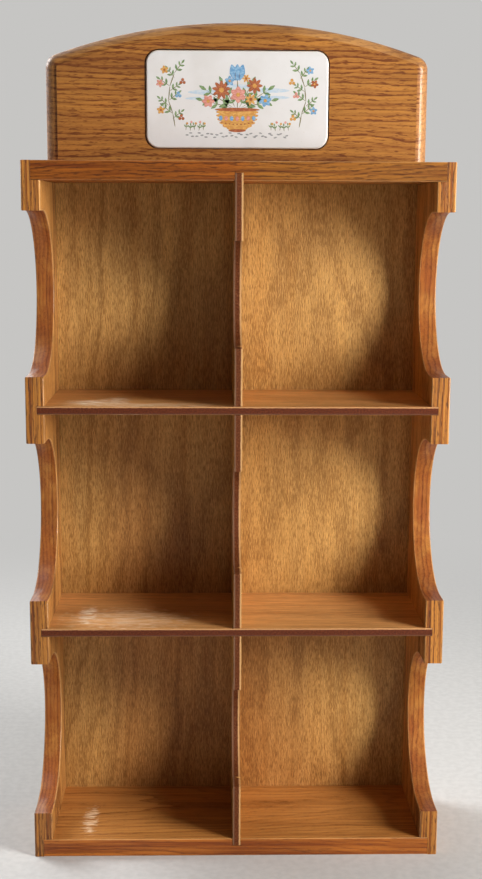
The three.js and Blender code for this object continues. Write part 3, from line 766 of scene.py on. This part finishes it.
# Two large daisies, two roses and smaller flowers: colour, place, petals, their distance from the
# middle, a petal's length and width, turn, and the heart's colour where it isn't ochre
BOWL_FLOWERS = (
    ("rust", -11.2, 6.6, 9, 3.9, (5.6, 2.7), 10),
    ("rust", 12.2, 9.6, 8, 3.3, (4.8, 2.5)),
    ("rose", 0.6, 3.4, 6, 3.2, (5.2, 4.0), 30),
    ("rose", -20.6, -1.2, 6, 2.5, (4.0, 3.1)),
    ("blue", 19.8, -0.6, 6, 2.5, (4.0, 2.9), 15),
    ("ochre", 9.6, 0.2, 7, 2.4, (3.6, 1.9), 0, "rust"),
    ("blue", -5.4, 12.8, 5, 2.0, (3.2, 2.4), 18),
    ("ochre", 6.2, 14.6, 6, 1.7, (2.6, 1.5), 0, "rust"),
)
# A side spray: its distance from the middle, its stalk, the turns of its sprigs, and the places and
# colours of its berries and flowers, which take turns
SPRAY_OUT = 47
SPRAY_STALK = ((-3, -19), (-1.5, -10), (1.6, -1), (0.6, 9), (-2.6, 18))
SPRAY_LEANS = (38, 142, 34, 128)
SPRAY_SPOTS = ((-7.5, -12.6), (7.0, -7.5), (-5.4, 3.0), (7.6, 11.0), (-8.4, 12.2), (4.4, 20.2))
SPRAY_COLOURS = ("rust", "ochre", "blue", "rose")


def paint_ground():
    """A soft blue wash behind, small grey brush marks under the bowl, and low sprigs beside it."""
    for wash in WASHES:
        picture.dab("sky", *wash, pointed=0.3, layer=0, sides=20)
    for step in range(34):
        x, z = (step - 16.5) * 2.15 + 0.5 * math.sin(step * 2.4), -24.6 + 1.5 * math.sin(step * 1.9)
        picture.dab("stone", x, z, 2.5, 1.1, 16 * math.sin(step * 3.1), 0.2, 1 + step % 2, 8)
    for hand in (-1, 1):
        for step in range(5):
            x = hand * (24 + step * 3.1)
            picture.sprig(x, -21 - 0.5 * (step % 2), 3.4, 90 + hand * 12 * math.sin(step * 2.2), 1, 2.9)
            picture.dab("rose" if step % 2 else "ochre", x + 0.9, -16.6 + step % 2, 1.7, 1.7,
                        layer=3, sides=8)


def paint_bowl():
    """A round bowl on a foot, with a row of rose and blue spots."""
    for row, (z, width) in enumerate(BOWL_ROWS):
        picture.dab("ochre", 0, z, width, 4.2, layer=2 + row % 2, sides=24)
    picture.dab("rust", 0, -21.4, 12.5, 2.2, pointed=0.1, layer=4, sides=18)
    picture.dab("rust", 0, -6.9, 32, 2.6, layer=5, sides=24)
    for step in range(7):
        x, z = (step - 3) * 3.9, -12.8 - 0.12 * (3 - abs(step - 3))
        picture.dab("rose" if step % 2 else "blue", x, z, 2.6, 3.6, pointed=0.2, layer=6, sides=12)
    for step in range(9):
        picture.dab("rust", (step - 4) * 2.7, -17.2 + 0.10 * (step - 4) ** 2, 1.3, 0.9, layer=6, sides=8)


def paint_bouquet():
    """Flowers and leaves standing out of the bowl."""
    for turn, reach, leaf in BOWL_SPRIGS:
        picture.sprig(ray(turn, 2.5)[0], -6, reach, turn, 3, leaf)
    picture.line([(0, -6), (0.4, 4), (0, 14)], 0.8)
    # Blue tulip, highest in the middle
    for x, turn in ((-2.7, 104), (2.7, 76), (0, 90)):
        picture.dab("blue", x, 18.6, 11.5, 5.6, turn, 0.55, 4 if x else 5, 14)
    for x in (-1.4, 1.4):
        picture.dab("slate", x, 16.2, 5.5, 0.9, 90, 0.5, 6, 8)
    for flower in BOWL_FLOWERS:
        picture.flower(*flower)


def paint_side_spray(hand):
    """An upright branch with berries and small flowers beside the bouquet."""
    base = SPRAY_OUT * hand
    stalk = [(base + dx * hand, z) for dx, z in SPRAY_STALK]
    picture.line(stalk, 0.8)
    for (x, z), lean in zip(stalk[1:], SPRAY_LEANS):
        turn = lean if hand > 0 else 180 - lean
        picture.sprig(x, z, 8.5, turn, 2, 4.6)
        picture.sprig(x, z - 3.2, 7.5, 180 - turn, 2, 4.2)
    for step, (dx, z) in enumerate(SPRAY_SPOTS):
        x, colour = base + dx * hand, SPRAY_COLOURS[(step + (hand > 0)) % 4]
        if step % 2:
            heart = "rust" if colour == "ochre" else "ochre"
            picture.flower(colour, x, z, 5, 1.6, (2.7, 2.0), step * 20, heart)
        else:
            for berry in range(3):
                berry_x, berry_z = ray(90 + 120 * berry, 1.3)
                picture.dab(colour, x + berry_x, z + berry_z, 2.2, 2.2, layer=3 + berry)


paint_ground()
paint_bowl()
paint_bouquet()
paint_side_spray(-1)
paint_side_spray(1)
picture.hang_up()


# Pieces that keep their CAD shape

zinc = nail_steel("hanger_zinc", stain(206, 204, 198), stain(138, 128, 112))
steel = nail_steel("nail_steel", stain(186, 182, 174), stain(96, 66, 40))
# By a word in the piece's name; the first word found counts, so a hanger's own nails are zinc too
FINISH_BY_WORD = {"hanger": zinc, "nail": steel, "brad": steel, "dowel": dowel_birch()}
for name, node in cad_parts.items():
    fitting = [finish for word, finish in FINISH_BY_WORD.items() if word in name]
    if fitting:
        for place in node.material_slots:
            place.material = fitting[0]


# Floor, lamps and camera

BACKDROP = stain(198, 197, 195)
FLOOR_RADIUS = 7.0
FADE_FROM, FADE_FULL = 0.30, 0.95       # how far from the rack the floor fades into the backdrop
ROOM_LIGHT, ROOM_STRENGTH = (1.0, 0.985, 0.965, 1.0), 0.030
DAYLIGHT, LAMPLIGHT, WARM_LIGHT = (0.97, 0.985, 1.0), (1.0, 0.99, 0.97), (1.0, 0.98, 0.955)

# Each lamp's place, what it looks at, its width and height, its watts and its colour
LAMPS = {
    "key": ((0.99, -0.62, 0.577), (0.0, 0.0, 0.47), (0.43, 0.65), 24, WARM_LIGHT),
    "fill": ((0.2, -2.4, 1.3), (0.0, 0.0, 0.28), (1.6, 1.6), 1.0, DAYLIGHT),
    "left edge": ((-1.05, 0.62, 1.12), (-0.13, 0.0, 0.52), (0.70, 0.80), 20, DAYLIGHT),
    "overhead": ((-0.7, 0.5, 2.3), (0.0, 0.0, 0.45), (1.2, 1.2), 7, LAMPLIGHT),
    "rear": ((-0.6, 2.6, 1.3), (0.0, 0.0, 0.28), (1.8, 1.8), 20, LAMPLIGHT),
}

# The camera, where the photograph's own stood: a little left of the middle, looking slightly down
CAMERA_AT = (-0.0185, -0.94645, 0.4511)
CAMERA_YAW, CAMERA_PITCH, CAMERA_ROLL = (math.radians(angle) for angle in (1.300, 9.514, 0.2686))
CAMERA_LENS, CAMERA_SENSOR = 55.254, 36.0


def pale_floor():
    """A wide round floor that fades into the pale background."""
    shape = bmesh.new()
    bmesh.ops.create_circle(shape, cap_ends=True, segments=96, radius=FLOOR_RADIUS)
    mesh = bpy.data.meshes.new("floor")
    shape.to_mesh(mesh)
    shape.free()
    floor = bpy.data.objects.new("floor", mesh)
    bpy.context.scene.collection.objects.link(floor)
    finish = Finish("floor_paper", IOR=1.4)
    speck = finish.noise(finish.place(), scale=180, detail=3)
    finish.finished(finish.mixed(finish.span(speck), stain(206, 205, 203), BACKDROP), 0.85)
    away = finish.vector("LENGTH", finish.place())
    glow = finish.fed("ShaderNodeEmission", BACKDROP).outputs[0]
    faded = finish.product(finish.seen(), finish.spread(away, FADE_FROM, FADE_FULL))
    finish.feed(finish.output.inputs["Surface"],
                finish.shaders_mixed(faded, finish.shader.outputs["BSDF"], glow))
    mesh.materials.append(finish.material)


def pale_room():
    """A backdrop that is seen as pale, and sheds only a little light of its own."""
    world = bpy.data.worlds.new("room")
    bpy.context.scene.world = world
    world.use_nodes = True
    room = Nodes(world.node_tree)
    light = room.fed("ShaderNodeBackground", ROOM_LIGHT, ROOM_STRENGTH).outputs[0]
    backdrop = room.fed("ShaderNodeBackground", BACKDROP).outputs[0]
    room.feed(room.node("ShaderNodeOutputWorld").inputs["Surface"],
              room.shaders_mixed(room.seen(), light, backdrop))


def soft_lamp(name, at, towards, size, watts, colour):
    light = bpy.data.lights.new(name, "AREA")
    light.shape = "RECTANGLE"
    light.size, light.size_y = size
    light.energy = watts
    light.color = colour
    lamp = bpy.data.objects.new(name, light)
    lamp.location = at
    lamp.visible_camera = False
    lamp.rotation_euler = (Vector(towards) - Vector(at)).to_track_quat("-Z", "Y").to_euler()
    bpy.context.scene.collection.objects.link(lamp)


def photo_camera():
    ahead = Vector((math.cos(CAMERA_PITCH) * math.sin(CAMERA_YAW),
                    math.cos(CAMERA_PITCH) * math.cos(CAMERA_YAW), -math.sin(CAMERA_PITCH)))
    level = Vector((math.cos(CAMERA_YAW), -math.sin(CAMERA_YAW), 0))
    upright = level.cross(ahead)
    right = math.cos(CAMERA_ROLL) * level + math.sin(CAMERA_ROLL) * upright
    up = math.cos(CAMERA_ROLL) * upright - math.sin(CAMERA_ROLL) * level
    data = bpy.data.cameras.new("camera")
    data.sensor_width = CAMERA_SENSOR
    data.lens = CAMERA_LENS
    data.clip_start, data.clip_end = 0.02, 60.0
    camera = bpy.data.objects.new("camera", data)
    camera.matrix_world = (Matrix.Translation(CAMERA_AT)
                           @ Matrix((right, up, -ahead)).transposed().to_4x4())
    bpy.context.scene.collection.objects.link(camera)
    bpy.context.scene.camera = camera


pale_floor()
pale_room()
for name, setting in LAMPS.items():
    soft_lamp(name, *setting)
photo_camera()

bpy.context.scene.view_settings.view_transform = "Standard"
